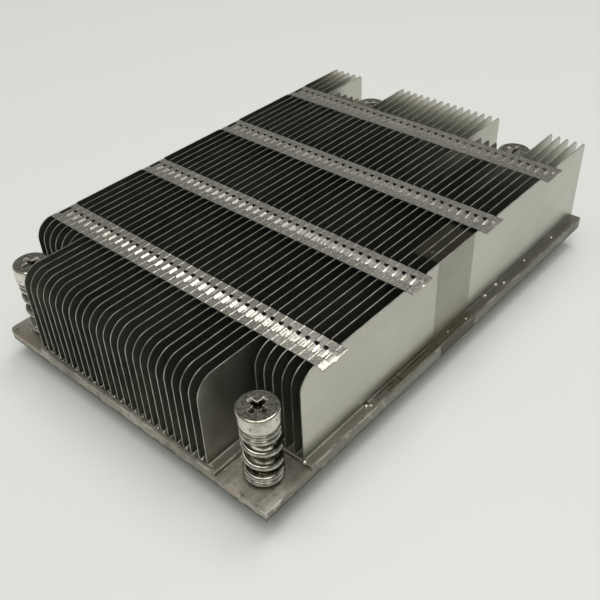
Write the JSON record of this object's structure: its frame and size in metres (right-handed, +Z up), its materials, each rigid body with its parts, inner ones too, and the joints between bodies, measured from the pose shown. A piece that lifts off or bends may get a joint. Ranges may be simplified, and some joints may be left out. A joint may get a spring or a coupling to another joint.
{
  "type": "passive server cpu heatsink",
  "caption": "Low passive processor heatsink: a stack of thin folded fins zipped together by rows of tabs, on a flat base with spring-loaded captive screws at its corners.",
  "frame": {"origin": "centre of the contact face, the flat underside that meets the processor", "axes": "+Z up away from the processor, +Y along the fins towards the end with the closer pair of screws, +X across the fins"},
  "size_m": [0.0784, 0.1164, 0.0283],
  "materials": {
    "fin_sheet": "thin rolled sheet, dull silver with a faint sheen",
    "base_metal": "plated plate, dull grey with solder stains",
    "contact_metal": "nickel-plated block, fine machining marks below",
    "film": "clear adhesive film, slightly warm tint",
    "screw_metal": "bright nickel plate",
    "spring_wire": "bright drawn wire",
    "clip_metal": "stamped spring steel"
  },
  "bodies": {
    "heatsink": {"base_plate": "base_metal", "contact_block": "contact_metal", "clear_film": "film", "fin_01": "fin_sheet", "fin_02": "fin_sheet", "fin_03": "fin_sheet", "fin_04": "fin_sheet", "fin_05": "fin_sheet", "fin_06": "fin_sheet", "fin_07": "fin_sheet", "fin_08": "fin_sheet", "fin_09": "fin_sheet", "fin_10": "fin_sheet", "fin_11": "fin_sheet", "fin_12": "fin_sheet", "fin_13": "fin_sheet", "fin_14": "fin_sheet", "fin_15": "fin_sheet", "fin_16": "fin_sheet", "fin_17": "fin_sheet", "fin_18": "fin_sheet", "fin_19": "fin_sheet", "fin_20": "fin_sheet", "fin_21": "fin_sheet", "fin_22": "fin_sheet", "fin_23": "fin_sheet", "fin_24": "fin_sheet", "fin_25": "fin_sheet", "fin_26": "fin_sheet", "fin_27": "fin_sheet", "fin_28": "fin_sheet", "fin_29": "fin_sheet", "fin_30": "fin_sheet", "fin_31": "fin_sheet", "fin_32": "fin_sheet", "fin_33": "fin_sheet", "fin_34": "fin_sheet", "fin_35": "fin_sheet", "fin_36": "fin_sheet", "fin_37": "fin_sheet", "spring_front_left": "spring_wire", "spring_front_right": "spring_wire", "spring_back_left": "spring_wire", "spring_back_right": "spring_wire"},
    "clip_front_left": {"retaining_clip_front_left": "clip_metal"},
    "screw_front_left": {"screw_front_left": "screw_metal"},
    "clip_front_right": {"retaining_clip_front_right": "clip_metal"},
    "screw_front_right": {"screw_front_right": "screw_metal"},
    "clip_back_left": {"retaining_clip_back_left": "clip_metal"},
    "screw_back_left": {"screw_back_left": "screw_metal"},
    "clip_back_right": {"retaining_clip_back_right": "clip_metal"},
    "screw_back_right": {"screw_back_right": "screw_metal"}
  },
  "joints": [
    {"name": "travel_front_left", "type": "slide", "parent": "heatsink", "child": "clip_front_left", "axis": [0, 0, -1], "range_m": [0, 0.0045], "stiffness_N_per_m": 15000, "springref_m": -0.002, "deforming": ["spring_front_left"]},
    {"name": "turn_front_left", "type": "hinge", "parent": "clip_front_left", "child": "screw_front_left", "pos_m": [-0.0328, -0.0518, 0.0012], "axis": [0, 0, 1], "continuous": true},
    {"name": "travel_front_right", "type": "slide", "parent": "heatsink", "child": "clip_front_right", "axis": [0, 0, -1], "range_m": [0, 0.0045], "stiffness_N_per_m": 15000, "springref_m": -0.002, "deforming": ["spring_front_right"]},
    {"name": "turn_front_right", "type": "hinge", "parent": "clip_front_right", "child": "screw_front_right", "pos_m": [0.0328, -0.0518, 0.0012], "axis": [0, 0, 1], "continuous": true},
    {"name": "travel_back_left", "type": "slide", "parent": "heatsink", "child": "clip_back_left", "axis": [0, 0, -1], "range_m": [0, 0.0045], "stiffness_N_per_m": 15000, "springref_m": -0.002, "deforming": ["spring_back_left"]},
    {"name": "turn_back_left", "type": "hinge", "parent": "clip_back_left", "child": "screw_back_left", "pos_m": [-0.0221, 0.0514, 0.0012], "axis": [0, 0, 1], "continuous": true},
    {"name": "travel_back_right", "type": "slide", "parent": "heatsink", "child": "clip_back_right", "axis": [0, 0, -1], "range_m": [0, 0.0045], "stiffness_N_per_m": 15000, "springref_m": -0.002, "deforming": ["spring_back_right"]},
    {"name": "turn_back_right", "type": "hinge", "parent": "clip_back_right", "child": "screw_back_right", "pos_m": [0.0221, 0.0514, 0.0012], "axis": [0, 0, 1], "continuous": true}
  ]
}
